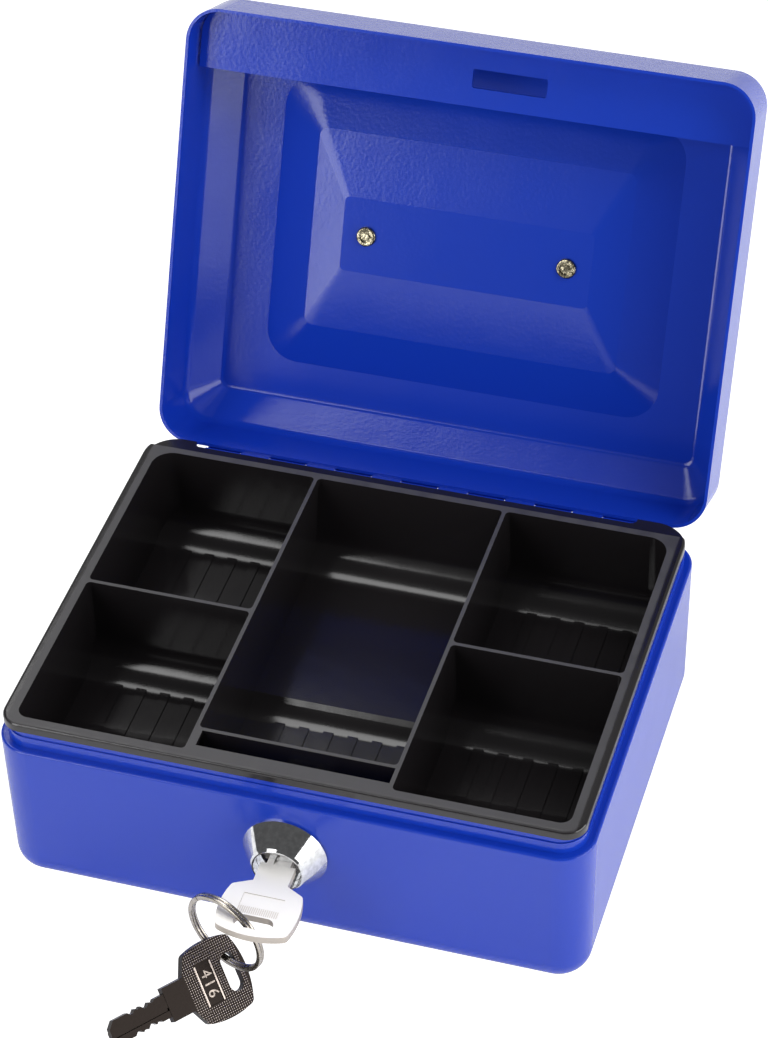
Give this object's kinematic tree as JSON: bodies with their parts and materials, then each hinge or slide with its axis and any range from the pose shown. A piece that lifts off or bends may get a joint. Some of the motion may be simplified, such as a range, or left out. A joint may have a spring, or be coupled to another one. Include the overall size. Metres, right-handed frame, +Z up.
{
  "type": "portable safe",
  "caption": "Small portable steel cash box, open: hinged lid with carrying handle, lift-out coin tray, hook-cam key lock and two keys on a ring.",
  "frame": {"origin": "centre of the base's underside, on the surface that the box stands on", "axes": "+X to the right seen from the lock, +Y from the lock to the hinge, +Z up"},
  "size_m": [0.152, 0.246, 0.1554],
  "materials": {
    "blue_paint": "glossy powder coat",
    "black_plastic": "glossy moulded",
    "chrome": "polished chrome plate",
    "nickel": "nickel plate",
    "dark_nickel": "black nickel plate",
    "bright_steel": "bright zinc plate",
    "yellow_zinc": "yellow zinc plate",
    "brass": "stamped brass"
  },
  "bodies": {
    "base": {"base_shell": "blue_paint", "hinge_leaf_base": "blue_paint", "hinge_pin": "bright_steel", "lock_body": "chrome", "lock_nut": "bright_steel"},
    "lid": {"lid_shell": "blue_paint", "hinge_leaf_lid": "blue_paint", "latch_ledge": "blue_paint", "handle_post_left": "yellow_zinc", "handle_post_right": "yellow_zinc"},
    "handle": {"handle_bail": "nickel"},
    "tray": {"coin_tray": "black_plastic"},
    "plug": {"lock_plug": "chrome", "wafer_springs": "bright_steel", "stop_washer": "bright_steel", "hook_cam": "yellow_zinc", "cam_clip": "bright_steel"},
    "wafers": {"wafer_1": "brass", "wafer_2": "brass", "wafer_3": "brass", "wafer_4": "brass"},
    "key": {"key_in_lock": "nickel"},
    "ring": {"key_ring": "nickel"},
    "spare": {"spare_key": "dark_nickel"}
  },
  "joints": [
    {"name": "lid_hinge", "type": "hinge", "parent": "base", "child": "lid", "pos_m": [-0.0012, 0.06179, 0.04407], "axis": [-1, 0, 0], "range_deg": [-112.76, 0]},
    {"name": "handle_swing", "type": "hinge", "parent": "lid", "child": "handle", "pos_m": [0, 0.11145, 0.09024], "axis": [1, 0, 0], "range_deg": [-22.76, 157.24]},
    {"name": "tray_lift", "type": "slide", "parent": "base", "child": "tray", "axis": [0, 0, 1], "range_m": [0, 0.06]},
    {"name": "plug_turn", "type": "hinge", "parent": "base", "child": "plug", "pos_m": [0, -0.059, 0.0288], "axis": [0, -1, 0], "range_deg": [0, 90]},
    {"name": "key_slide", "type": "slide", "parent": "plug", "child": "key", "axis": [0, -1, 0], "range_m": [0, 0.04]},
    {"name": "wafer_travel", "type": "slide", "parent": "plug", "child": "wafers", "axis": [1, 0, 0], "range_m": [0, 0.0006]},
    {"name": "ring_swing", "type": "hinge", "parent": "key", "child": "ring", "pos_m": [-0.0013, -0.085, 0.0288], "axis": [0, 1, 0], "range_deg": [0, 45]},
    {"name": "spare_key_slide", "type": "hinge", "parent": "ring", "child": "spare", "pos_m": [-0.00827, -0.08191, 0.0211], "axis": [0.3779, 0.9248, 0.045], "range_deg": [0, 90]}
  ],
  "couplings": [
    {"joint": "wafer_travel", "follows": "key_slide", "ratio": 0.015},
    {"joint": "spare_key_slide", "follows": "plug_turn", "ratio": 1}
  ]
}
